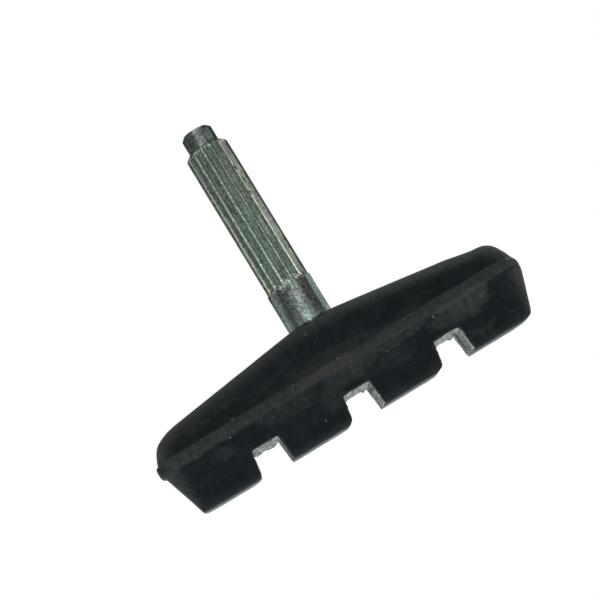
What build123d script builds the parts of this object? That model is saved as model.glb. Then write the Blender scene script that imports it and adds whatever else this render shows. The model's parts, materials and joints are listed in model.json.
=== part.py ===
from build123d import *
import os
from math import radians, tan

os.makedirs("parts", exist_ok=True)

# Bicycle rim brake pad: a moulded rubber block on a fluted steel post.
# Millimetres. The braking face lies on Z = 0, the post stands along +Z at the origin,
# and the pad's length runs along X.

# Steel post
post_diameter = 7.0
flute_relief = 0.16
flute_count = 14
flute_depth = 0.28
flute_mouth = 1.16
flute_floor = 0.84
flute_runout = 0.50
shank_show = 6.15
flute_length = 22.9
shoulder_height = 0.75
pilot_diameter = 4.8
pilot_length = 2.65
pilot_chamfer = 0.5

# Waist and forged head that hold the post in the rubber
waist_diameter = 6.4
waist_cover = 0.15
head_length = 24.0
head_width = 7.6
head_thickness = 2.4
head_cover = 1.6

# Four rubber blocks with three notches between them, moulded a little off the post's centre
pad_offset = 0.1
block_count = 4
block_length = 10.05
notch_mouth = 4.75
notch_depth = 3.7
notch_draft = 5.0
notch_corner = 0.55
worn_edge = 0.9
worn_end = 1.1
lead_end = 0.5
face_width = 10.6
block_corner = 3.4
end_draft = 18.0
side_draft = 5.0

# Flange around the middle of the pad, which stands out along the sides and at the leading end
lip_bottom = 7.2
lip_thickness = 1.6
lip_stand = 0.4
lip_edge = 0.25

# Back of the pad: heights above the flange at the boss, at its foot and at the rounded ends
boss_height = 6.85
brow_height = 6.5
nose_height = 4.0
boss_length = 6.8
brow_length = 12.0
back_step = 0.75
back_draft = 6.5
back_shoulder = 3.0
back_flare = 1.0
nose_width = 9.2
nose_step = 0.3
nose_draft = 17.0
nose_shoulder = 3.0
nose_flare = 0.2

# Sizes that follow from the ones above
notch_pitch = block_length + notch_mouth
face_length = block_count * block_length + (block_count - 1) * notch_mouth
root_length = face_length + 2 * lip_bottom * tan(radians(end_draft))
root_width = face_width + 2 * lip_bottom * tan(radians(side_draft))
lip_top = lip_bottom + lip_thickness
lip_end_stand = 2 * pad_offset
lip_length = root_length + lip_end_stand
lip_width = root_width + 2 * lip_stand
back_width = lip_width - 2 * back_step
nose_place = (lip_length - nose_width - nose_flare) / 2 - nose_step
crest_top = lip_top + boss_height
head_bottom = lip_bottom + head_cover
waist_radius = waist_diameter / 2
waist_top = crest_top - waist_cover
post_radius = post_diameter / 2
ridge_radius = post_radius - flute_relief
flute_start = crest_top + shank_show
flute_end = flute_start + flute_length
pilot_base = flute_end + shoulder_height
post_top = pilot_base + pilot_length
pilot_radius = pilot_diameter / 2


# Cutter for one flute: a groove with sloping sides that ramps out at the plain shank
with BuildPart() as flute:
    with BuildSketch(Plane.XY.offset(flute_start)) as flute_section:
        with BuildLine() as flute_line:
            floor_x = ridge_radius - flute_depth
            mouth_x = ridge_radius + flute_depth
            splay = (flute_mouth - flute_floor) / flute_depth * (mouth_x - floor_x)
            outer = (flute_floor + splay) / 2
            inner = flute_floor / 2
            Polyline((floor_x, -inner), (mouth_x, -outer), (mouth_x, outer), (floor_x, inner), close=True)
        make_face()
    extrude(amount=flute_length + shoulder_height)
    ramp_edge = flute.faces().sort_by(Axis.Z)[0].edges().sort_by(Axis.X)[0]
    chamfer(ramp_edge, flute_runout, flute_depth * 1.5)


# Post: turned blank, rolled flutes and an oblong head
with BuildPart() as post:
    with BuildSketch(Plane.XZ) as post_half:
        with BuildLine() as post_line:
            start = Line((0, head_bottom), (waist_radius, head_bottom))
            waist = Line(start @ 1, (waist_radius, waist_top))
            seat = Line(waist @ 1, (post_radius, waist_top))
            shank = Line(seat @ 1, (post_radius, flute_start))
            step = Line(shank @ 1, (ridge_radius, flute_start + flute_relief))
            ridge = Line(step @ 1, (ridge_radius, flute_end))
            shoulder = Line(ridge @ 1, (pilot_radius, pilot_base))
            pilot = Line(shoulder @ 1, (pilot_radius, post_top - pilot_chamfer))
            rim = Line(pilot @ 1, (pilot_radius - pilot_chamfer, post_top))
            tip = Line(rim @ 1, (0, post_top))
            Line(tip @ 1, start @ 0)
        make_face()
    revolve(axis=Axis.Z)

    with PolarLocations(0, flute_count, start_angle=180 / flute_count):
        add(flute.part, mode=Mode.SUBTRACT)

    with BuildSketch(Plane.XY.offset(head_bottom)) as head_outline:
        SlotOverall(head_length, head_width)
    extrude(amount=head_thickness)


# Lower half of the rubber: a tapered block, with the notched and worn side view cut through it
with BuildPart() as rubber_block:
    with BuildSketch(Plane.YZ) as block_end:
        with Locations((0, lip_bottom / 2)):
            Trapezoid(root_width, lip_bottom, 90 + side_draft)
    extrude(amount=root_length / 2, both=True)
    with BuildSketch(Plane.XZ) as block_side:
        with Locations((0, lip_bottom / 2)):
            Trapezoid(root_length, lip_bottom, 90 + end_draft)
    extrude(amount=root_width, both=True, mode=Mode.INTERSECT)
    fillet(rubber_block.edges().group_by(Axis.Z)[1], block_corner)

    with BuildSketch(Plane.XZ) as worn_side:
        add(block_side.sketch_local)
        with GridLocations(notch_pitch, 0, block_count - 1, 1):
            with Locations((0, notch_depth / 2)):
                Trapezoid(notch_mouth, notch_depth, 90 - notch_draft, mode=Mode.SUBTRACT)
        fillet(worn_side.vertices().group_by(Axis.Y)[1], notch_corner)
        # Wear rounds the trailing edge of each block, and most of all the trailing end of the pad
        fillet(worn_side.vertices().group_by(Axis.Y)[0].sort_by(Axis.X)[1:-1:2], worn_edge)
        fillet(worn_side.vertices().group_by(Axis.Y)[0].sort_by(Axis.X)[-1], worn_end)
        fillet(worn_side.vertices().group_by(Axis.Y)[0].sort_by(Axis.X)[0], lead_end)
    extrude(amount=root_width, both=True, mode=Mode.INTERSECT)

    with BuildSketch(Plane.XY.offset(lip_bottom)) as lip_outline:
        with Locations((-lip_end_stand / 2, 0)):
            RectangleRounded(lip_length, lip_width, block_corner + lip_stand)
    extrude(amount=lip_thickness)
    lip_rims = rubber_block.faces().filter_by(Axis.Z).sort_by(Axis.Z)[-1].outer_wire().edges()
    chamfer(lip_rims, lip_edge)


def arch(width, height, draft, shoulder, flare):
    """Section across the back: leaning sides on a flared foot, with rounded shoulders."""
    waist_out = width / 2
    crest_out = waist_out - (height - flare) * tan(radians(draft))
    foot_out = waist_out + flare / 2
    with BuildSketch() as section:
        with BuildLine():
            right_side = Polyline((foot_out, 0), (waist_out, flare), (crest_out, height))
            mirror(right_side, about=Plane.YZ)
            Line((-crest_out, height), (crest_out, height))
            Line((-foot_out, 0), (foot_out, 0))
        make_face()
        fillet(section.vertices().group_by(Axis.Y)[-1], shoulder)
    return section.sketch


# Long middle of the back: arched sections that sink and narrow from the boss towards both ends
boss_arch = (back_width, boss_height, back_draft, back_shoulder, back_flare)
brow_arch = (back_width, brow_height, back_draft, back_shoulder, back_flare)
nose_arch = (nose_width, nose_height, nose_draft, nose_shoulder, nose_flare)
with BuildPart() as back:
    for place, sizes in (
        (-nose_place, nose_arch),
        (-brow_length / 2, brow_arch),
        (-boss_length / 2, boss_arch),
        (boss_length / 2, boss_arch),
        (brow_length / 2, brow_arch),
        (nose_place, nose_arch),
    ):
        with BuildSketch(Plane.YZ.offset(place)):
            with Locations((0, lip_top)):
                add(arch(*sizes))
    loft(ruled=True)


# Rounded end of the back: half of its end section turned about an upright axis
with BuildPart() as nose:
    with BuildSketch(Plane.YZ) as nose_half:
        with Locations((0, lip_top)):
            add(arch(*nose_arch))
        split(bisect_by=Plane.YZ)
    revolve(axis=Axis.Z, revolution_arc=180)


# One moulding: blocks, flange and back, closed round the post and its head
with BuildPart() as rubber:
    with Locations((pad_offset, 0, 0)):
        add(rubber_block.part)
    add(back.part)
    with Locations((-nose_place, 0, 0), Location((nose_place, 0, 0), (0, 0, 180))):
        add(nose.part)
    add(post.part, mode=Mode.SUBTRACT)


rubber.part.label = "rubber_pad"
export_step(rubber.part, "parts/rubber_pad.step")
post.part.label = "post"
export_step(post.part, "parts/post.step")
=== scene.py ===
import json
import bmesh
import bpy
import numpy as np
from mathutils import Matrix, Vector


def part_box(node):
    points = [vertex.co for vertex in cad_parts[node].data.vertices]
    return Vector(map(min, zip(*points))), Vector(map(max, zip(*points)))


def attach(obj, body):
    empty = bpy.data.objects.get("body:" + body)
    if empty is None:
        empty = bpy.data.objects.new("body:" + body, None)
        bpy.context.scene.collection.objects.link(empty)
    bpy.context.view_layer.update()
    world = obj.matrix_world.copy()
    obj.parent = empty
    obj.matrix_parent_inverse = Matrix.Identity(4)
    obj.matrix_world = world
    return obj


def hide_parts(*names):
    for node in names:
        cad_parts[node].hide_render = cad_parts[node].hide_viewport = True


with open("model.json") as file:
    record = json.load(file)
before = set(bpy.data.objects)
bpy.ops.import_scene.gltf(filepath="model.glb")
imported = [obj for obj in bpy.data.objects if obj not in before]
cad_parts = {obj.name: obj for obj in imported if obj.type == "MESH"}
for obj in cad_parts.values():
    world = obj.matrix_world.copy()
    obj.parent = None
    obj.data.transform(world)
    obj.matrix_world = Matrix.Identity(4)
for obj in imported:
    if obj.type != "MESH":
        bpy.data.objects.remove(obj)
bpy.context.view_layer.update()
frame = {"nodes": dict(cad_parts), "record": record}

# Lengths are in millimetres until a mesh is handed to its object, which is in metres.
MM = 0.001


def in_mm(length):
    """A length of the frame in millimetres, to a ten-thousandth."""
    return round(length / MM, 4)


# Post: its ends and its hidden head come from the frame, and its plain shank is the mount named post
post_low, post_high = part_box("post")
shank = next(mount for mount in frame["record"]["mounts"] if mount["name"] == "post")
shank_middle = in_mm(shank["pos_m"][2])
shank_length = shank["dims"]["length_mm"]
POST_RADIUS = shank["dims"]["r_mm"]
WAIST_TOP = round(shank_middle - shank_length / 2, 4)
FLUTE_START = round(shank_middle + shank_length / 2, 4)
POST_TOP = in_mm(post_high.z)
HEAD_BOTTOM = in_mm(post_low.z)
HEAD_LENGTH = in_mm(post_high.x - post_low.x)
HEAD_WIDTH = in_mm(post_high.y - post_low.y)
HEAD_THICKNESS = 2.4
HEAD_TOP = HEAD_BOTTOM + HEAD_THICKNESS
WAIST_RADIUS = 3.2
FLUTE_COUNT = 14
FLUTE_PITCH = 2 * np.pi / FLUTE_COUNT
FLUTE_RELIEF = 0.16
FLUTE_DEPTH = 0.28
FLUTE_FLOOR = 0.84
FLUTE_MOUTH = 1.16
FLUTE_RUNOUT = 0.5
FLUTE_LENGTH = 22.9
FLUTE_END = FLUTE_START + FLUTE_LENGTH
RIDGE_RADIUS = POST_RADIUS - FLUTE_RELIEF
GROOVE_RADIUS = RIDGE_RADIUS - FLUTE_DEPTH
GROOVE_SPLAY = (FLUTE_MOUTH - FLUTE_FLOOR) / 2 / FLUTE_DEPTH
SHOULDER_HEIGHT = 0.75
PILOT_BASE = FLUTE_END + SHOULDER_HEIGHT
PILOT_RADIUS = 2.4
PILOT_CHAMFER = 0.5

# Rubber pad: it lies a little off the post's axis, and its trailing end is towards +X
CREST_TOP = in_mm(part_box("rubber_pad")[1].z)
PAD_MIDDLE = 0.1
FACE_END = 27.3
LIP_BOTTOM = 7.2
LIP_THICKNESS = 1.6
LIP_TOP = LIP_BOTTOM + LIP_THICKNESS
LIP_MIDDLE = (LIP_BOTTOM + LIP_TOP) / 2
NOTCH_PITCH = 14.8
NOTCH_PLACES = (PAD_MIDDLE - NOTCH_PITCH, PAD_MIDDLE, PAD_MIDDLE + NOTCH_PITCH)
NOTCH_HALF = 2.45
NOTCH_TOP = 3.7
NOTCH_CORNER = 0.55
CEILING_HALF = 2.05

# Skins
WELD = 0.002
VOXEL = 0.21
RELAX_PASSES = 2
RIDGE_PASSES = 6
COLUMNS = FLUTE_COUNT * 28
# A radius well outside the post, where no groove is
CLEAR = 9.0

# Random fields: size of the lumps and seed
PATCH_EDGE_X = (2.2, 3)
PATCH_EDGE_Z = (1.8, 8)
DUST_MOTTLE = (0.8, 27)
SMEAR = (1.2, 33)
RAGGED = (0.9, 12)
FLANGE_MOTTLE = (4.0, 7)
WAVE = (7.0, 31)
PEBBLES = (0.7, 41)
NOTCH_GRAIN = (0.9, 51)
CHIPS = (1.6, 61)
TORN_BITS = (0.8, 81)
POST_WANDER = (1.1, 15)
POST_BLOTCH = (0.9, 71)
POST_WEAR = (0.9, 5)
POST_NICKS = (0.8, 9)
POST_BURRS = (0.30, 19)


# Numbers

def lattice(cell):
    """A fixed random number from -1 to 1 for each whole-numbered cell."""
    mixed = cell[:, 0] * 73856093 ^ cell[:, 1] * 19349663 ^ cell[:, 2] * 83492791
    mixed = (mixed ^ (mixed >> 13)) * 1274126177
    mixed = mixed ^ (mixed >> 16)
    return (mixed & 0xFFFF) / 32767.5 - 1.0


def lumps(points, size, seed=0):
    """A smooth random field from -1 to 1 with lumps about `size` across."""
    seed_shift = 17.3 * seed + 0.37
    place = points / size + seed_shift
    cell = np.floor(place).astype(np.int64)
    part = place - cell
    part = part * part * (3 - 2 * part)
    total = np.zeros(len(points))
    for corner in np.ndindex(2, 2, 2):
        weight = np.prod(np.where(corner, part, 1 - part), axis=1)
        total += weight * lattice(cell + np.array(corner))
    return total


def layered(points, size, seed=0, layers=3):
    """Lumps with finer lumps on top of them."""
    usual_height = 1.6
    total = np.zeros(len(points))
    for layer in range(layers):
        total += lumps(points, size / 2 ** layer, seed + layer) / 2 ** layer
    return total / usual_height


def step(value, low, high):
    """0 below low, 1 above high, smooth between. low may be the larger."""
    share = np.clip((value - low) / (high - low), 0, 1)
    return share * share * (3 - 2 * share)


def between(one, two, share):
    """`one` where share is 0, `two` where it is 1."""
    return one + (two - one) * share


def along(values, pairs):
    """Looks values up in a table of pairs, on straight lines between them."""
    places, results = zip(*pairs)
    return np.interp(values, places, results)


def soft_min(one, two, blend):
    """The smaller of two, with the corner between them rounded off."""
    share = np.clip(0.5 + 0.5 * (two - one) / blend, 0, 1)
    return between(two, one, share) - blend * share * (1 - share)


# Meshes

def even_mesh(source, voxel):
    """A CAD node's shape in millimetres, rebuilt from small even faces."""
    mesh = source.data.copy()
    mesh.transform(Matrix.Scale(1 / MM, 4))
    welded = bmesh.new()
    welded.from_mesh(mesh)
    bmesh.ops.remove_doubles(welded, verts=welded.verts, dist=WELD)
    welded.to_mesh(mesh)
    welded.free()
    holder = bpy.data.objects.new("holder", mesh)
    bpy.context.scene.collection.objects.link(holder)
    remesh = holder.modifiers.new("even", "REMESH")
    remesh.mode = "VOXEL"
    remesh.voxel_size = voxel
    graph = bpy.context.evaluated_depsgraph_get()
    even = bpy.data.meshes.new_from_object(holder.evaluated_get(graph))
    bpy.data.objects.remove(holder)
    bpy.data.meshes.remove(mesh)
    return even


def points_of(mesh):
    flat = np.zeros(len(mesh.vertices) * 3)
    mesh.vertices.foreach_get("co", flat)
    return flat.reshape(-1, 3)


def normals_of(mesh):
    flat = np.zeros(len(mesh.vertices) * 3)
    mesh.vertex_normals.foreach_get("vector", flat)
    return flat.reshape(-1, 3)


def set_points(mesh, points):
    mesh.vertices.foreach_set("co", points.astype(np.float32).ravel())
    mesh.update()


def neighbour_mean(mesh, values):
    """The mean of each vertex's neighbours."""
    ends = np.zeros(len(mesh.edges) * 2, np.int64)
    mesh.edges.foreach_get("vertices", ends)
    one, two = ends.reshape(-1, 2).T
    count = np.bincount(one, minlength=len(values)) + np.bincount(two, minlength=len(values))
    total = np.zeros_like(values)
    for axis in range(values.shape[1]):
        total[:, axis] += np.bincount(one, values[two, axis], len(values))
        total[:, axis] += np.bincount(two, values[one, axis], len(values))
    return total / np.maximum(count, 1)[:, None]


def relax(mesh, times, amount=0.5):
    """Rounds edges off and takes the rebuilding's small steps away."""
    for _ in range(times):
        points = points_of(mesh)
        set_points(mesh, between(points, neighbour_mean(mesh, points), amount))


def ridge_of(mesh, times):
    """How far each vertex stands out of its surroundings: an edge is above 0."""
    points = points_of(mesh)
    spread = points
    for _ in range(times):
        spread = neighbour_mean(mesh, spread)
    return np.sum((points - spread) * normals_of(mesh), axis=1)


def mark(mesh, name, values):
    """Keeps a mask on the mesh for its material."""
    layer = mesh.attributes.new(name, "FLOAT", "POINT")
    layer.data.foreach_set("value", np.clip(values, 0, 1).astype(np.float32))


def piece(mesh, name, node):
    """The finished piece, in metres, in place of a CAD node."""
    mesh.transform(Matrix.Scale(MM, 4))
    mesh.polygons.foreach_set("use_smooth", np.ones(len(mesh.polygons), bool))
    mesh.update()
    made = bpy.data.objects.new(name, mesh)
    bpy.context.scene.collection.objects.link(made)
    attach(made, "root")
    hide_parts(node)
    return made


# Rubber pad

# Dusty patches on the near side: middle X and Z, half length, half height, strength
PATCHES = (
    (20.2, 6.2, 4.6, 1.9, 0.70), (16.0, 5.6, 3.4, 1.5, 0.45), (0.8, 6.4, 4.8, 1.8, 0.45),
    (-3.2, 4.3, 2.4, 2.0, 0.28), (8.5, 6.8, 6.0, 0.9, 0.45), (-9.5, 6.2, 5.5, 1.5, 0.28),
    (-20.0, 5.4, 1.5, 1.0, 0.28), (-1.5, 9.5, 8.0, 1.2, 0.30), (5.5, 9.1, 5.5, 0.7, 0.18),
    (-17.5, 12.2, 5.0, 0.9, 0.22), (20.0, 1.9, 2.4, 0.7, 0.25), (7.0, 4.6, 3.0, 1.4, 0.18),
    (19.3, 7.2, 5.5, 0.7, 0.75), (-23.5, 7.1, 6.0, 0.4, 0.40), (-22.0, 10.9, 2.6, 0.7, 0.25),
    (-16.5, 11.0, 3.2, 0.5, 0.25), (-11.5, 10.4, 2.5, 0.8, 0.15), (13.0, 9.8, 3.0, 0.6, 0.15),
)
# The patch below the flange stops short of the trailing end along a sharp, leaning line
PATCH_END = 23.7
PATCH_END_LEAN = 0.6
# The far side has the same patches the other way round, a little weaker
FAR_DUST = 0.8
# A smear lies below the flange, on the trailing side: middle X and Z, and how it is drawn out lengthwise
SMEAR_MIDDLE = (9.5, 6.6)
SMEAR_STRETCH = (0.35, 1.0, 3.0)
# Height of the back above the braking face, going out from the post
CROWN = ((0, CREST_TOP), (6, 15.3), (24.6, 12.8), (30, 10.0))
# Pale specks on the near side: X and Z. Their sizes come round in turn.
SPECKS = (
    (-16.8, 9.1), (-13.3, 7.1), (-11.8, 6.4), (-26.0, 3.4), (-5.8, 2.1), (-9.4, 8.6), (-7.2, 8.6),
    (-5.7, 8.6), (0.1, 8.7), (10.8, 8.7), (10.3, 6.7), (11.9, 6.4), (14.6, 6.8), (14.2, 6.3), (20.2, 6.4),
    (-1.4, 12.3), (-1.9, 14.0), (3.2, 5.9), (6.6, 6.0), (15.5, 9.0), (-18.4, 6.9), (13.0, 5.2), (8.4, 7.0),
)
SPECK_SIZES = (0.42, 0.28, 0.34, 0.25)
# A pale scratch near the trailing end, from one X and Z to another
SCRATCH = ((23.9, 2.3), (25.2, 1.4))
SCRATCH_STRENGTH = 0.70
SCRATCH_WIDTH = 0.6
# A brown stain on the flange: middle X and Z
STAIN_MIDDLE = (-2.5, 8.1)

# Depths of the rubber's small forms
WAVE_DEPTH = 0.05
PEBBLE_DEPTH = 0.025
ROUGH_DEPTH = 0.12
CHIP_DEPTH = 0.25
TORN_DEPTH = 0.35
# Wear: how far the back's top corners are lower, the leading block is set back and a crease is filled
LEADING_DROP = 0.5
TRAILING_DROP = 0.27
LEADING_SETBACK = 0.28
CREASE_FILL = 0.25
WEAR_PASSES = 90


def near_side(y):
    """1 on the side that the photograph shows, 0 on the far side."""
    return step(y, 2.0, -2.0)


def from_notch(x):
    """Distance along the pad from the middle of the nearest notch, below 0 towards the leading end."""
    offsets = np.array([x - place for place in NOTCH_PLACES])
    nearest = np.argmin(np.abs(offsets), axis=0)
    return np.take_along_axis(offsets, nearest[None], axis=0)[0]


def patches(points, mirrored):
    """Soft dusty patches with ragged edges. The far side has them the other way round."""
    x, _, z = points.T
    ragged_x = 1.2 * layered(points, *PATCH_EDGE_X)
    ragged_z = 0.8 * layered(points, *PATCH_EDGE_Z)
    total = np.zeros(len(points))
    for place_x, place_z, half_x, half_z, strength in PATCHES:
        out = ((-x if mirrored else x) + ragged_x - place_x) / half_x
        up = (z + ragged_z - place_z) / half_z
        total = np.maximum(total, strength * step(np.hypot(out, up), 1.15, 0.55))
    return total


def line_gap(x, z, line):
    """Distance to a straight mark on the side of the pad."""
    (x0, z0), (x1, z1) = line
    long_x = x1 - x0
    long_z = z1 - z0
    share = np.clip(((x - x0) * long_x + (z - z0) * long_z) / (long_x ** 2 + long_z ** 2), 0, 1)
    return np.hypot(x - x0 - share * long_x, z - z0 - share * long_z)


def side_dust(points):
    """Dusty patches on both sides, with the near one cut off before the trailing end and smeared."""
    x, y, z = points.T
    near = near_side(y)
    below_flange = step(z, LIP_BOTTOM + 0.15, LIP_BOTTOM - 0.1)
    leaning_x = x + PATCH_END_LEAN * (LIP_BOTTOM - z)
    past_end = step(leaning_x, PATCH_END - 0.15, PATCH_END + 0.25) * step(z, 5.2, 5.6)
    dust = patches(points, False) * near * (1 - below_flange * past_end)
    dust += patches(points, True) * FAR_DUST * (1 - near)
    dust *= 1 + 0.35 * layered(points, *DUST_MOTTLE)
    smear = step(layered(points * SMEAR_STRETCH, *SMEAR), -0.1, 0.3) * near
    smear *= step(np.abs(x - SMEAR_MIDDLE[0]), 5.5, 3.5)
    smear *= step(np.abs(z - SMEAR_MIDDLE[1]), 0.8, 0.4)
    return dust * (1 - 0.8 * smear)


def flange_dust(points, ragged):
    """A dusty band round the flange, with hardly any dust at the leading end."""
    x, _, z = points.T
    band = step(z, LIP_BOTTOM - 0.1, LIP_BOTTOM + 0.15)
    band *= step(z + 0.2 * ragged, LIP_TOP + 0.4, LIP_TOP - 0.4)
    band *= 0.60 + 0.12 * layered(points, *FLANGE_MOTTLE) + 0.12 * ragged
    return band * between(0.15, 1.0, step(x, -29.0, -28.2))


def crest_dust_and_highlight(x, z):
    """Dust and a painted highlight along the top of the back, more of it on the trailing half."""
    crown = along(np.abs(x), CROWN)
    strength = 0.48 + 0.40 * step(x, -8.0, 8.0)
    return strength * step(z, crown - 2.6, crown - 0.5) * step(z, LIP_TOP, LIP_TOP + 1.0)


def notch_mask(points, normals, ragged):
    """The pale walls of the notches, with the dark places in them."""
    x, y, z = points.T
    notch = step(np.abs(from_notch(x)), NOTCH_HALF + 0.15, NOTCH_HALF - 0.05)
    notch *= step(z, NOTCH_TOP + 0.25, NOTCH_TOP)
    notch *= step(np.abs(normals[:, 1]), 0.80, 0.45)
    notch *= 1 - 0.8 * step(np.abs(y) + 0.6 * ragged, 5.0, 5.5)
    middle_cut = step(x, 1.6, 1.9) * step(x, 4.0, 3.5)
    middle_cut *= step(np.abs(z - 2.9 - 0.06 * y), 0.35, 0.15) * step(np.abs(y), 4.2, 3.0)
    end_cut = 0.85 * step(x, 16.4, 16.7) * step(np.abs(y - 2.0), 1.8, 0.9) * step(z, 0.5, 1.4)
    notch *= 1 - np.maximum(middle_cut, end_cut)
    dark_wall = step(np.abs(x - NOTCH_PLACES[0] - NOTCH_HALF), 0.7, 0.3) * step(z, 3.5, 3.0)
    return notch * (1 - 0.75 * dark_wall)


def speck_mask(x, z):
    """Pale specks and a scratch: highest in their middles, and below 0 away from them."""
    speck = SCRATCH_STRENGTH - line_gap(x, z, SCRATCH) / SCRATCH_WIDTH
    for index, (place_x, place_z) in enumerate(SPECKS):
        size = SPECK_SIZES[index % len(SPECK_SIZES)]
        speck = np.maximum(speck, 1 - np.hypot(x - place_x, z - place_z) / size)
    return speck


def rubber_masks(points, normals, ridges):
    """Where the rubber is dusty or paler, with a painted highlight along the crest, pale in the notches,
    worn, speckled or stained.
    """
    x, y, z = points.T
    near = near_side(y)
    ragged = layered(points, *RAGGED)
    # Paler towards both ends of the pad, except on the flange
    paler_ends = 0.80 * step(np.abs(x - PAD_MIDDLE), 25.8, 28.6)
    paler_ends *= 1 - step(np.abs(z - LIP_MIDDLE), 1.2, 0.9)
    low_dust = 0.30 * step(z, 1.2, 0.1)
    edge_dust = 0.40 * step(ridges, 0.02, 0.10)
    dust_and_crest_highlight = [side_dust(points), flange_dust(points, ragged), crest_dust_and_highlight(x, z)]
    worn = step(normals[:, 2], -0.5, -0.9) * step(z, 0.35, 0.1) * step(y + 0.8 * ragged, -4.5, 3.5)
    stain = step(np.abs(x - STAIN_MIDDLE[0]) + 1.5 * ragged, 7.0, 2.5)
    stain *= step(np.abs(z - STAIN_MIDDLE[1]), 0.9, 0.4)
    return {
        # The dust mask also carries the crest's painted highlight
        "dust": np.maximum.reduce(dust_and_crest_highlight + [paler_ends, low_dust, edge_dust]),
        "notch": notch_mask(points, normals, ragged),
        "worn": worn,
        "speck": speck_mask(x, z) * near,
        "stain": stain * near,
    }


def wear_ends(mesh):
    """Rubs the blocks' trailing edges and the flange's trailing end smooth, and wears the pad's corners."""
    points = points_of(mesh)
    x, _, z = points.T
    rubbed = 0.5 * step(x, 27.4, 28.6) * step(np.abs(z - LIP_TOP), 2.6, 1.6)
    for edge in [place - NOTCH_HALF for place in NOTCH_PLACES] + [FACE_END]:
        rubbed = np.maximum(rubbed, 0.12 * step(np.hypot(x - edge, z), 2.2, 1.4))
    drop = LEADING_DROP * step(x, -24.0, -27.5) + TRAILING_DROP * step(x, 20.0, 26.0)
    drop *= step(z, LIP_TOP + 0.5, LIP_TOP + 2.5)
    setback = LEADING_SETBACK * step(x, -25.0, -28.0)
    setback *= step(z, LIP_BOTTOM + 0.05, LIP_BOTTOM - 0.25)
    crease_middle = LIP_TOP + 1.1
    filled = CREASE_FILL * step(x, 27.0, 28.2) * step(np.abs(z - crease_middle), 1.3, 0.4)
    points[:, 0] += filled
    for _ in range(WEAR_PASSES):
        points = between(points, neighbour_mean(mesh, points), rubbed[:, None])
    points[:, 0] += setback
    points[:, 2] -= drop
    set_points(mesh, points)


def square_notches(mesh):
    """Draws the rounded corners at the notches' tops out into squarer ones."""
    squareness = 8
    smallest = 0.01
    points = points_of(mesh)
    x, _, z = points.T
    offset = from_notch(x)
    # Places beside the centre of a corner's round, in units of its radius
    out = (np.abs(offset) - CEILING_HALF + NOTCH_CORNER) / NOTCH_CORNER
    up = (z - NOTCH_TOP + NOTCH_CORNER) / NOTCH_CORNER
    reach = np.maximum(np.hypot(out, up), smallest)
    share_out = np.clip(out / reach, 0, 1)
    share_up = np.clip(up / reach, 0, 1)
    square = np.maximum(share_out ** squareness + share_up ** squareness, smallest) ** (-1 / squareness)
    pull = (square - 1) * step(reach, 2.4, 1.3) * step(reach, 0.5, 0.8) * NOTCH_CORNER
    pull *= (out > 0) & (up > 0)
    points[:, 0] += np.sign(offset) * share_out * pull
    points[:, 2] += share_up * pull
    set_points(mesh, points)


def rubber_dents(points, ridges, notch):
    """How far the rubber's skin lies under the smooth form, away from the post."""
    x, y, z = points.T
    wave = WAVE_DEPTH * (1 + layered(points, *WAVE)) / 2
    pebble = PEBBLE_DEPTH * (1 + lumps(points, *PEBBLES)) / 2
    rough = notch * ROUGH_DEPTH * (1 + layered(points, *NOTCH_GRAIN, layers=2)) / 2
    chipped = CHIP_DEPTH * step(ridges, 0.05, 0.12) * step(z, 3.0, 1.0)
    chipped *= step(layered(points, *CHIPS), 0.25, 0.8)
    return (wave + pebble + rough + chipped) * step(np.hypot(x, y), 3.7, 4.1)


def torn_rims(points):
    """How far torn bits hang down from the far rims of the notches' ceilings."""
    x, y, z = points.T
    torn = TORN_DEPTH * step(np.abs(from_notch(x)), CEILING_HALF, CEILING_HALF - 0.4)
    torn *= step(np.abs(z - NOTCH_TOP), 0.35, 0.15) * step(y, 4.4, 5.2)
    return torn * step(layered(points, *TORN_BITS), -0.1, 0.5)


def make_rubber():
    mesh = even_mesh(frame["nodes"]["rubber_pad"], VOXEL)
    relax(mesh, RELAX_PASSES)
    wear_ends(mesh)
    square_notches(mesh)
    ridges = ridge_of(mesh, RIDGE_PASSES)
    points = points_of(mesh)
    normals = normals_of(mesh)
    masks = rubber_masks(points, normals, ridges)
    for name, values in masks.items():
        mark(mesh, name, values)
    dents = rubber_dents(points, ridges, masks["notch"])
    worn_points = points - normals * dents[:, None]
    worn_points[:, 2] -= torn_rims(points)
    set_points(mesh, worn_points)
    return piece(mesh, "rubber_skin", "rubber_pad")


# Post

# Outline of the post above its head: height and radius
POST_PROFILE = (
    (HEAD_TOP, WAIST_RADIUS), (WAIST_TOP, WAIST_RADIUS), (WAIST_TOP + 0.01, POST_RADIUS),
    (FLUTE_START, POST_RADIUS), (FLUTE_START + FLUTE_RELIEF, RIDGE_RADIUS), (FLUTE_END, RIDGE_RADIUS),
    (PILOT_BASE, PILOT_RADIUS), (POST_TOP - PILOT_CHAMFER, PILOT_RADIUS),
    (POST_TOP, PILOT_RADIUS - PILOT_CHAMFER),
)
# Painted highlights and shade on the plating: how bright each flute's floor and the ridge before it are,
# going round from +X
FLOOR_TONES = (0.90, 1.05, 0.85, 1.15, 0.95, 1.00, 0.90, 0.90, 0.75, 0.72, 1.05, 0.98, 0.95, 0.45)
RIDGE_TONES = (0.95, 1.40, 1.60, 1.35, 1.80, 1.40, 1.25, 1.30, 2.85, 2.50, 2.00, 2.00, 2.15, 0.25)
WARM_RIDGES = (4, 8, 12)
WARM_FLOORS = (4, 12)
# How bright a flute's two sides are beside its floor, as painted shade and light, and the flutes in view
# where that differs
SIDE_TONE = 0.62
SIDE_TONES = {8: (1.45, 0.50), 9: (1.30, 1.00), 10: (0.62, 0.95), 11: (0.25, 0.62), 12: (0.30, 2.10)}
DARK_SIDE = 0.4
# A flute's sides lie between these angles from its middle, in radians, and a ridge's land begins beyond
WALL_START = 0.105
WALL_END = 0.150
LAND_BLEND = 0.04
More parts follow.
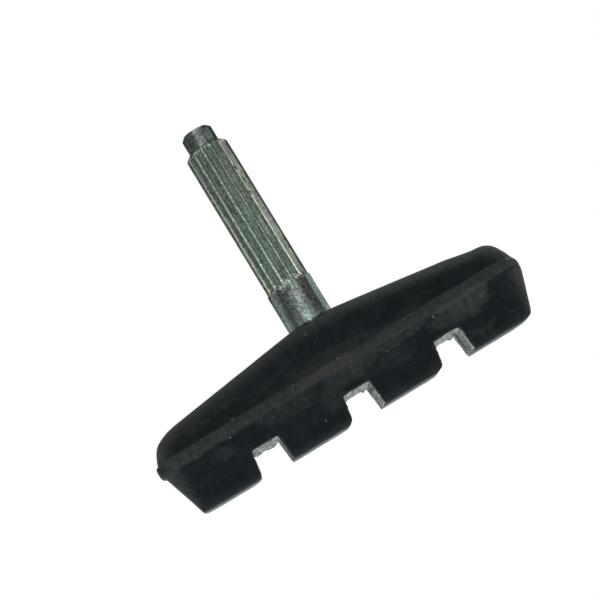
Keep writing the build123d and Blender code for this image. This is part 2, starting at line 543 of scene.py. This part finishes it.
# A flute's floor is a little brighter away from its sides
FLOOR_LIFT = 1.04
# The ridges' painted highlights are brightest near the shank and fade towards the tip: height, brightness
RIDGE_FADE = ((24.0, 1.40), (32.0, 1.0), (42.0, 0.72))
# Painted reflections round the plain shank and the tip, as bright and dark bands: degrees from the near side,
# brightness
SHANK_REFLECTIONS = (
    (-180, 0.9), (-150, 0.45), (-120, 1.2), (-75, 1.0), (-60, 1.8), (-35, 0.35), (-12, 0.85), (5, 2.5),
    (25, 0.6), (35, 0.3), (47, 0.15), (66, 1.75), (80, 1.65), (120, 1.1), (145, 0.5), (180, 0.9),
)
TIP_REFLECTIONS = (
    (-180, 0.6), (-140, 1.0), (-110, 0.45), (-55, 0.5), (-15, 0.35), (0, 1.8), (14, 1.05), (40, 0.4),
    (65, 0.15), (95, 0.5), (130, 0.95), (180, 0.6),
)
# Dark pits on the near side: place to the right of the axis, height, size
PITS = ((2.38, 40.1, 0.34), (2.50, 38.0, 0.26), (2.20, 35.9, 0.20), (-1.70, 26.4, 0.30))
PIT_STRETCH = 1.5
# Direction from the axis to the near side, and the brightness that the mask's 1 stands for
FACING = np.radians(-94.7)
TONE_RANGE = 5.0
# Drawing marks run along the post, so the fields are stretched in Z
WANDER_STRETCH = (1, 1, 0.3)
WEAR_STRETCH = (1, 1, 0.35)
# Depths of the post's small forms
WEAR_DEPTH = 0.02
NICK_DEPTH = 0.10
BURR_DEPTH = 0.10
PIT_DEPTH = 0.12


def post_rows():
    """Heights of the rings that the post's skin is made from, closer where the form changes."""
    rows = [HEAD_TOP, 13.5, WAIST_TOP - 0.05, WAIST_TOP, WAIST_TOP + 0.01]
    rows += list(np.arange(WAIST_TOP + 0.2, FLUTE_START - 0.2, 0.2))
    rows += list(np.arange(FLUTE_START - 0.05, FLUTE_START + 1.6, 0.08))
    rows += list(np.arange(FLUTE_START + 1.7, FLUTE_END - 0.1, 0.25))
    rows += list(np.arange(FLUTE_END - 0.05, PILOT_BASE + 0.1, 0.08))
    rows += list(np.arange(PILOT_BASE + 0.2, POST_TOP - PILOT_CHAMFER - 0.05, 0.16))
    rows += [POST_TOP - PILOT_CHAMFER, POST_TOP - 0.25, POST_TOP - 0.08, POST_TOP]
    return np.array(rows)


def groove_radius(away):
    """Distance from the axis to a groove's floor or side, at an angle from the groove's middle."""
    flattest = 0.05
    floor = GROOVE_RADIUS / np.cos(away)
    reach = GROOVE_RADIUS * GROOVE_SPLAY - FLUTE_FLOOR / 2
    slope = GROOVE_SPLAY * np.cos(away) - np.abs(np.sin(away))
    wall = np.where(slope > flattest, reach / np.maximum(slope, flattest), CLEAR)
    return np.maximum(floor, wall)


def late_start(flute, angle):
    """How far above the others a flute starts, with a ragged end."""
    by_flute = 0.4 * np.sin(flute * 4.1 + 1.0) * np.sin(flute * 2.3)
    by_angle = 0.12 * np.sin(angle * 61) * np.sin(angle * 37)
    return np.maximum(by_flute + by_angle, 0)


def post_form(z, angle, flute, away):
    """Distance from the axis to the post's surface."""
    runout_rise = 0.6
    corner = 0.08
    ramp = np.clip((z - FLUTE_START - late_start(flute, angle)) / FLUTE_RUNOUT, 0, 1)
    groove = groove_radius(away) + (1 - ramp) * runout_rise
    groove = np.where(z > FLUTE_START - 0.02, groove, CLEAR)
    return soft_min(along(z, POST_PROFILE), groove, corner)


class PostSkin:
    """Rings of points up the post, with what its tones and its wear need to know of each point."""

    def __init__(self):
        rows = post_rows()
        self.rings = len(rows)
        self.z = np.repeat(rows, COLUMNS)
        angle = np.tile(np.arange(COLUMNS) * 2 * np.pi / COLUMNS, self.rings)
        flute = np.floor(angle / FLUTE_PITCH)
        away = angle - (flute + 0.5) * FLUTE_PITCH
        self.flute = flute.astype(int)
        self.ridge = (np.round(angle / FLUTE_PITCH) % FLUTE_COUNT).astype(int)
        self.radius = post_form(self.z, angle, flute, away)
        self.points = np.stack([self.radius * np.cos(angle), self.radius * np.sin(angle), self.z], -1)
        self.fluted = step(self.z, FLUTE_START - 0.1, FLUTE_START + 0.5)
        self.tip = step(self.z, FLUTE_END + 0.35, PILOT_BASE)
        self.wander = layered(self.points * WANDER_STRETCH, *POST_WANDER)
        self.blotch = layered(self.points, *POST_BLOTCH)
        # Angle from the near side, and the same with the painted reflection bands' wavering edges
        self.seen = (angle - FACING + np.pi) % (2 * np.pi) - np.pi
        self.beta = self.seen + 0.10 * self.wander
        sides = np.array([SIDE_TONES.get(number, (SIDE_TONE, SIDE_TONE)) for number in range(FLUTE_COUNT)])
        self.side_tone = sides[self.flute, (away > 0).astype(int)]
        # A side in painted shade darker than DARK_SIDE reaches further over the ridge
        land_edge = WALL_END + LAND_BLEND * (self.side_tone < DARK_SIDE) + 0.02 * self.wander
        self.land = step(np.abs(away), land_edge, land_edge + LAND_BLEND)
        self.wall = step(np.abs(away), WALL_START, WALL_END) * (1 - self.land)
        self.pit = self.pits()
        self.burr_and_glint = self.burrs()

    def pits(self):
        """Dark pits on the near side."""
        pit = np.zeros(len(self.points))
        right = self.radius * np.sin(self.seen)
        for place, level, size in PITS:
            gap = np.hypot(right - place, (self.z - level) / PIT_STRETCH) + 0.08 * self.blotch
            pit = np.maximum(pit, step(gap, size, 0.4 * size) * (np.abs(self.seen) < np.pi / 2))
        return pit

    def burrs(self):
        """Burrs with painted glints where the flutes start, most of them on the near side, and at the
        shoulder.
        """
        burr_and_glint = step(self.z, FLUTE_START - 0.35, FLUTE_START)
        burr_and_glint *= step(self.z, FLUTE_START + 1.0, FLUTE_START + 0.3)
        burr_and_glint *= 0.45 + 0.55 * step(np.abs(self.beta - 0.1), 0.9, 0.3)
        return burr_and_glint + 0.35 * step(np.abs(self.z - FLUTE_END - 0.1), 0.45, 0.1)

    def reflection_bands(self, tones):
        """Brightness of the painted reflection bands round the shank or the tip."""
        return along(np.degrees(np.clip(self.beta, -np.pi, np.pi)), tones)

    def flute_tone(self):
        """Painted highlights and shade on the flutes' floors and sides and on the ridges between them."""
        floor_tone = np.array(FLOOR_TONES)[self.flute] * between(FLOOR_LIFT, self.side_tone, self.wall)
        tone = between(floor_tone, np.array(RIDGE_TONES)[self.ridge], self.land)
        ridge_fade = along(self.z, RIDGE_FADE)
        floor_fade = 1 + 0.35 * np.minimum(ridge_fade - 1, 0)
        return tone * between(floor_fade, ridge_fade, self.land) * (1 + 0.22 * self.wander)

    def tone(self):
        """Brightness all over the post: painted reflections, highlights and shade on the plating, and darker
        pits.
        """
        shank_tone = self.reflection_bands(SHANK_REFLECTIONS) * (1 + 0.15 * self.wander + 0.25 * self.blotch)
        # Painted shade on the shank's side just under the flutes, and the shank a little lighter towards its
        # foot
        painted_shade_side = step(self.z, 20.3, 21.3) * step(self.beta, -1.0, -1.2)
        shank_tone *= 1 + 0.15 * step(self.z, 18.0, 16.2) - 0.7 * painted_shade_side
        tip_tone = self.reflection_bands(TIP_REFLECTIONS) * (1 + 0.2 * self.wander + 0.3 * self.blotch)
        tone = between(shank_tone, self.flute_tone(), self.fluted)
        return between(tone, tip_tone, self.tip) * (1 - 0.75 * self.pit)

    def warm(self):
        """Where the plating is yellower, partly as a tint on painted highlights of some ridges and on painted
        reflection bands of the shank and tip.
        """
        warm_land = self.land * np.isin(self.ridge, WARM_RIDGES)
        warm_floor = 0.6 * np.isin(self.flute, WARM_FLOORS)
        warm = np.maximum(warm_land, warm_floor) * self.fluted * (1 - self.tip)
        warm += 0.4 * self.tip * step(np.abs(self.beta), 0.5, 0.2)
        return warm + 0.6 * (1 - self.fluted) * step(np.abs(self.beta - 0.52), 0.28, 0.10)

    def worn_points(self):
        """The points with wear, nicks, burrs and pits above the rubber."""
        wear = WEAR_DEPTH * (1 + layered(self.points * WEAR_STRETCH, *POST_WEAR)) / 2
        nick = NICK_DEPTH * step(layered(self.points, *POST_NICKS), 0.60, 0.9) * self.land * self.fluted
        nick += BURR_DEPTH * step(lumps(self.points, *POST_BURRS), 0.2, 0.8) * self.burr_and_glint
        nick += PIT_DEPTH * self.pit
        shrink = 1 - np.where(self.z > WAIST_TOP + 0.05, wear + nick, 0.0) / self.radius
        return self.points * np.stack([shrink, shrink, np.ones(len(shrink))], -1)


def ring_faces(rings):
    """Four-cornered faces between each ring of points and the next one up."""
    faces = []
    for row in range(rings - 1):
        low = row * COLUMNS + np.arange(COLUMNS)
        high = low + COLUMNS
        faces += np.stack([low, np.roll(low, -1), np.roll(high, -1), high], 1).tolist()
    return faces


def tip_faces(rings, top):
    """Three-cornered faces from the last ring to the point in the middle of the tip."""
    last = (rings - 1) * COLUMNS + np.arange(COLUMNS)
    return [[one, two, top] for one, two in zip(last.tolist(), np.roll(last, -1).tolist())]


def head_outline():
    """The head's oblong outline: straight sides with a half round at each end."""
    bend = HEAD_WIDTH / 2
    reach = HEAD_LENGTH / 2 - bend
    arc_points = 33
    arc = np.linspace(-np.pi / 2, np.pi / 2, arc_points)
    right = [(reach + bend * np.cos(turn), bend * np.sin(turn)) for turn in arc]
    left = [(-x, -y) for x, y in right]
    return right + left


def head_faces(start, size):
    """The head's side and lower face. Its lower rim begins at point `start`, and its upper rim follows."""
    faces = []
    for number in range(size):
        after = (number + 1) % size
        faces.append([start + number, start + after, start + size + after, start + size + number])
    faces.append([start + number for number in reversed(range(size))])
    return faces


def close_head(mesh):
    """Fills the head's upper face, from its rim to the foot of the waist."""
    shell = bmesh.new()
    shell.from_mesh(mesh)
    rims = [edge for edge in shell.edges if edge.is_boundary]
    bmesh.ops.triangle_fill(shell, edges=rims, use_beauty=True, normal=(0, 0, 1))
    shell.to_mesh(mesh)
    shell.free()


def make_post():
    skin = PostSkin()
    points = skin.worn_points().tolist()
    top = len(points)
    points.append([0, 0, POST_TOP])
    start = len(points)
    outline = head_outline()
    points += [[x, y, height] for height in (HEAD_BOTTOM, HEAD_TOP) for x, y in outline]
    faces = ring_faces(skin.rings) + tip_faces(skin.rings, top) + head_faces(start, len(outline))
    mesh = bpy.data.meshes.new("post_skin")
    mesh.from_pydata(points, [], faces)
    close_head(mesh)
    # Masks on the rings, and their value on the tip's middle and the head
    masks = {
        # tone holds the painted reflections, highlights and shade
        "tone": (skin.tone() / TONE_RANGE, 1 / TONE_RANGE),
        "warm": (skin.warm(), 0.0),
        "burr_and_glint": (skin.burr_and_glint, 0.0),
        "plain": (1 - skin.fluted + skin.tip, 1.0),
    }
    for name, (values, elsewhere) in masks.items():
        mark(mesh, name, np.append(values, np.full(len(points) - top, elsewhere)))
    return piece(mesh, "post_skin", "post")


# Materials

class Shader:
    """A material's node tree, with short calls to add and join nodes."""

    # Blender's mix node keeps the sockets of all its types in one list
    MIX_SHARE = 0
    MIX_VALUES = (2, 3)
    MIX_VALUE_OUT = 0
    MIX_COLOURS = (6, 7)
    MIX_COLOUR_OUT = 2

    def __init__(self, name):
        self.material = bpy.data.materials.new(name)
        self.material.use_nodes = True
        self.tree = self.material.node_tree
        self.surface = self.tree.nodes["Principled BSDF"]
        self.place = self.node("ShaderNodeTexCoord").outputs["Object"]

    def node(self, kind, inputs=None, **settings):
        made = self.tree.nodes.new(kind)
        for key, value in settings.items():
            setattr(made, key, value)
        for key, value in (inputs or {}).items():
            self.put(made.inputs[key], value)
        return made

    def put(self, socket, value):
        if isinstance(value, bpy.types.NodeSocket):
            self.tree.links.new(value, socket)
        elif socket.type == "RGBA" and len(value) == 3:
            socket.default_value = (*value, 1.0)
        else:
            socket.default_value = value

    def math(self, operation, one, two=0.0, clamp=False):
        return self.node("ShaderNodeMath", {0: one, 1: two}, operation=operation, use_clamp=clamp).outputs[0]

    def vector(self, operation, inputs, output=0):
        return self.node("ShaderNodeVectorMath", inputs, operation=operation).outputs[output]

    def mix(self, share, one, two):
        """A colour between two."""
        inputs = dict(zip((self.MIX_SHARE, *self.MIX_COLOURS), (share, one, two)))
        return self.node("ShaderNodeMix", inputs, data_type="RGBA").outputs[self.MIX_COLOUR_OUT]

    def blend(self, share, one, two):
        """A number between two."""
        inputs = dict(zip((self.MIX_SHARE, *self.MIX_VALUES), (share, one, two)))
        return self.node("ShaderNodeMix", inputs, data_type="FLOAT").outputs[self.MIX_VALUE_OUT]

    def step(self, value, low, high, to_low=0.0, to_high=1.0):
        inputs = {"Value": value, "From Min": low, "From Max": high, "To Min": to_low, "To Max": to_high}
        return self.node("ShaderNodeMapRange", inputs, interpolation_type="SMOOTHSTEP").outputs[0]

    def noise(self, size, detail=2.0, stretch=(1, 1, 1), roughness=0.5, tilt=0.0):
        """Random field around 0.5, with lumps about `size` metres across, tilted in the XZ plane."""
        turned = self.node("ShaderNodeVectorRotate", {"Vector": self.place, "Axis": (0, 1, 0), "Angle": tilt})
        place = self.vector("MULTIPLY", {0: turned.outputs[0], 1: stretch})
        inputs = {"Vector": place, "Scale": 1 / size, "Detail": detail, "Roughness": roughness}
        return self.node("ShaderNodeTexNoise", inputs).outputs["Fac"]

    def mask(self, name):
        return self.node("ShaderNodeAttribute", attribute_name=name).outputs["Fac"]

    def bump(self, height, depth, strength=1.0):
        made = self.node("ShaderNodeBump", {"Height": height, "Distance": depth, "Strength": strength})
        self.put(self.surface.inputs["Normal"], made.outputs[0])

    def finish(self, obj, colour, roughness, **constants):
        self.put(self.surface.inputs["Base Color"], colour)
        self.put(self.surface.inputs["Roughness"], roughness)
        for key, value in constants.items():
            self.surface.inputs[key.replace("_", " ")].default_value = value
        obj.data.materials.clear()
        obj.data.materials.append(self.material)


def paint_rubber(obj):
    s = Shader("rubber")
    dark = (0.0031, 0.0058, 0.0072)
    grey = (0.0350, 0.0400, 0.0410)
    pale = (0.40, 0.435, 0.415)
    worn = (0.340, 0.360, 0.355)
    white = (0.115, 0.123, 0.120)
    brown = (0.041, 0.036, 0.033)
    cloud = s.step(s.noise(2.2 * MM, 4.0), 0.35, 0.70)
    mottle = s.noise(0.8 * MM, 3.0, roughness=0.6)
    grain = s.step(s.noise(0.28 * MM, 3.0, roughness=0.65), 0.35, 0.70)
    # The dust mask also carries a painted highlight along the crest
    dust = s.math("MULTIPLY", s.mask("dust"), s.blend(grain, 0.65, 1.15))
    dust = s.math("MULTIPLY", dust, s.step(mottle, 0.3, 0.7, 0.75, 1.25), clamp=True)
    dim = s.math("MULTIPLY", s.step(mottle, 0.32, 0.68, 0.02, 0.16), s.blend(cloud, 0.5, 1.3))
    colour = s.mix(s.math("MULTIPLY", dim, s.blend(grain, 0.5, 1.4)), dark, grey)
    colour = s.mix(dust, colour, grey)
    colour = s.mix(s.math("MULTIPLY", s.mask("stain"), 0.35), colour, brown)
    colour = s.mix(s.math("MULTIPLY", s.mask("worn"), s.blend(grain, 0.45, 1.0)), colour, worn)
    grit = s.noise(0.34 * MM, 4.0, roughness=0.7)
    cut = s.noise(0.30 * MM, 2.0, stretch=(1, 0.12, 1), roughness=0.6)
    freckle = s.step(s.blend(0.6, grit, cut), 0.38, 0.60)
    colour = s.mix(s.math("MULTIPLY", s.mask("notch"), s.blend(freckle, 0.20, 1.0)), colour, pale)
    colour = s.mix(s.step(s.mask("speck"), 0.50, 0.85), colour, white)
    s.bump(s.noise(0.25 * MM, 4.0, roughness=0.6), 0.03 * MM, 0.6)
    roughness = s.blend(dust, 0.60, 0.80)
    s.finish(obj, colour, roughness, Specular_IOR_Level=0.06, Sheen_Weight=0.06, Sheen_Roughness=0.35)


def paint_post(obj):
    s = Shader("plated_steel")
    steel = (0.108, 0.137, 0.113)
    plain = (0.106, 0.132, 0.121)
    warm = (0.136, 0.142, 0.120)
    white = (0.70, 0.71, 0.62)
    cool_shade = (0.98, 1.03, 1.02)
    rusty_shade = (1.03, 0.98, 0.96)
    edge_tint = (0.4, 0.4, 0.4, 1.0)
    grain = s.noise(0.30 * MM, 2.0, roughness=0.6)
    drawn = s.noise(0.26 * MM, 2.0, stretch=(1, 1, 0.07), roughness=0.6)
    scratch = s.noise(0.22 * MM, 2.0, stretch=(1, 1, 0.12), roughness=0.6, tilt=0.9)
    # The tone mask holds the painted reflections, highlights and shade, which the grain and scratches then
    # vary
    tone = s.math("MULTIPLY", s.mask("tone"), TONE_RANGE)
    tone = s.math("MULTIPLY", tone, s.step(grain, 0.28, 0.72, 0.50, 1.50))
    tone = s.math("MULTIPLY", tone, s.step(drawn, 0.28, 0.72, 0.72, 1.28))
    rubbed = s.blend(s.mask("plain"), 1.0, s.step(scratch, 0.28, 0.72, 0.70, 1.30))
    tone = s.math("MULTIPLY", tone, rubbed)
    tint = s.mix(s.mask("warm"), s.mix(s.mask("plain"), steel, plain), warm)
    shade = s.mix(s.step(s.noise(1.3 * MM, 2.0), 0.35, 0.65), cool_shade, rusty_shade)
    colour = s.vector("SCALE", {0: s.vector("MULTIPLY", {0: tint, 1: shade}), "Scale": tone})
    # Painted glints in white on the burrs
    painted_glint = s.math("MULTIPLY", s.mask("burr_and_glint"), s.step(s.noise(0.30 * MM, 2.0), 0.52, 0.65))
    colour = s.mix(s.math("MULTIPLY", painted_glint, 0.7), colour, white)
    s.bump(s.math("ADD", drawn, grain), 0.03 * MM, 0.6)
    s.finish(obj, colour, s.step(grain, 0.3, 0.7, 0.32, 0.50), Metallic=1.0, Specular_Tint=edge_tint)


# Light, floor and camera, in metres

# Light from the background: on the part, and where the camera or a reflection sees it
AMBIENT = 0.50
BACKDROP = 1.0
# Lamps: name, place, what it points at, width, power
LAMPS = (
    ("key", (-0.25, -0.30, 0.35), (0, 0, 0.015), 0.20, 0.9),
    ("top", (0.0, 0.05, 0.45), (0, 0, 0.0), 0.30, 0.5),
    ("side", (0.38, 0.0, 0.12), (0, 0, 0.015), 0.15, 0.40),
    ("under", (-0.03, -0.12, -0.28), (0, 0, 0.004), 0.15, 0.80),
)
# The floor lies just under the part, and fades out between two distances from the middle
FLOOR_LOW = -0.0003
FLOOR_HALF = 0.5
FLOOR_FADE = 0.10
# Camera: sensor and lens are in millimetres. The picture's right-hand direction sets its roll.
SENSOR_WIDTH = 36.0
LENS = 121.3
CLIP_START = 0.01
CAMERA_PLACE = Vector((-0.0230, -0.2860, -0.0167))
CAMERA_AIM = Vector((0.00034, 0.0, 0.01919))
PICTURE_RIGHT = Vector((0.8563, -0.0050, -0.5164))


def area_lamp(name, place, aim, size, power):
    data = bpy.data.lights.new(name, "AREA")
    data.shape = "DISK"
    data.size = size
    data.energy = power
    lamp = bpy.data.objects.new(name, data)
    lamp.location = place
    lamp.rotation_euler = (Vector(aim) - Vector(place)).to_track_quat("-Z", "Y").to_euler()
    bpy.context.scene.collection.objects.link(lamp)


def make_world():
    """A white background that lights the part less than it shows."""
    world = bpy.data.worlds.new("white")
    world.use_nodes = True
    tree = world.node_tree
    tree.nodes.clear()
    path = tree.nodes.new("ShaderNodeLightPath")
    seen = path.outputs["Is Camera Ray"]
    for name in ("Is Glossy Ray", "Is Transmission Ray"):
        either = tree.nodes.new("ShaderNodeMath")
        either.operation = "MAXIMUM"
        tree.links.new(seen, either.inputs[0])
        tree.links.new(path.outputs[name], either.inputs[1])
        seen = either.outputs[0]
    strength = tree.nodes.new("ShaderNodeMapRange")
    strength.inputs["To Min"].default_value = AMBIENT
    strength.inputs["To Max"].default_value = BACKDROP
    tree.links.new(seen, strength.inputs["Value"])
    light = tree.nodes.new("ShaderNodeBackground")
    light.inputs["Color"].default_value = (1, 1, 1, 1)
    tree.links.new(strength.outputs[0], light.inputs["Strength"])
    out = tree.nodes.new("ShaderNodeOutputWorld")
    tree.links.new(light.outputs[0], out.inputs[0])
    bpy.context.scene.world = world


def paint_floor():
    """White, fading out into the background. It shows from above only, as the photograph looks up."""
    s = Shader("table")
    fleck = s.noise(2 * MM, 3.0)
    s.put(s.surface.inputs["Base Color"], s.mix(fleck, (0.93, 0.93, 0.93), (0.97, 0.97, 0.97)))
    s.surface.inputs["Roughness"].default_value = 0.9
    s.surface.inputs["Specular IOR Level"].default_value = 0.0
    below = s.node("ShaderNodeNewGeometry").outputs["Backfacing"]
    shadow_ray = s.node("ShaderNodeLightPath").outputs["Is Shadow Ray"]
    away = s.vector("LENGTH", {0: s.place}, "Value")
    faded = s.step(away, FLOOR_FADE, FLOOR_HALF)
    unseen = s.math("MAXIMUM", s.math("MAXIMUM", below, shadow_ray), faded)
    clear = s.node("ShaderNodeBsdfTransparent").outputs[0]
    mixed = s.node("ShaderNodeMixShader", {0: unseen, 1: s.surface.outputs[0], 2: clear})
    s.put(s.tree.nodes["Material Output"].inputs["Surface"], mixed.outputs[0])
    return s.material


def make_floor():
    corners = [(-1, -1), (1, -1), (1, 1), (-1, 1)]
    mesh = bpy.data.meshes.new("floor")
    mesh.from_pydata([(x * FLOOR_HALF, y * FLOOR_HALF, FLOOR_LOW) for x, y in corners], [], [(0, 1, 2, 3)])
    floor = bpy.data.objects.new("floor", mesh)
    bpy.context.scene.collection.objects.link(floor)
    mesh.materials.append(paint_floor())


def make_camera():
    data = bpy.data.cameras.new("camera")
    data.sensor_width = SENSOR_WIDTH
    data.lens = LENS
    data.clip_start = CLIP_START
    camera = bpy.data.objects.new("camera", data)
    bpy.context.scene.collection.objects.link(camera)
    ahead = (CAMERA_AIM - CAMERA_PLACE).normalized()
    right = (PICTURE_RIGHT - ahead * PICTURE_RIGHT.dot(ahead)).normalized()
    up = right.cross(ahead)
    turn = Matrix((right, up, -ahead)).transposed()
    camera.matrix_world = Matrix.Translation(CAMERA_PLACE) @ turn.to_4x4()
    bpy.context.scene.camera = camera


rubber = make_rubber()
post = make_post()
paint_rubber(rubber)
paint_post(post)
make_world()
make_floor()
for lamp_values in LAMPS:
    area_lamp(*lamp_values)
make_camera()
bpy.context.scene.view_settings.view_transform = "Standard"
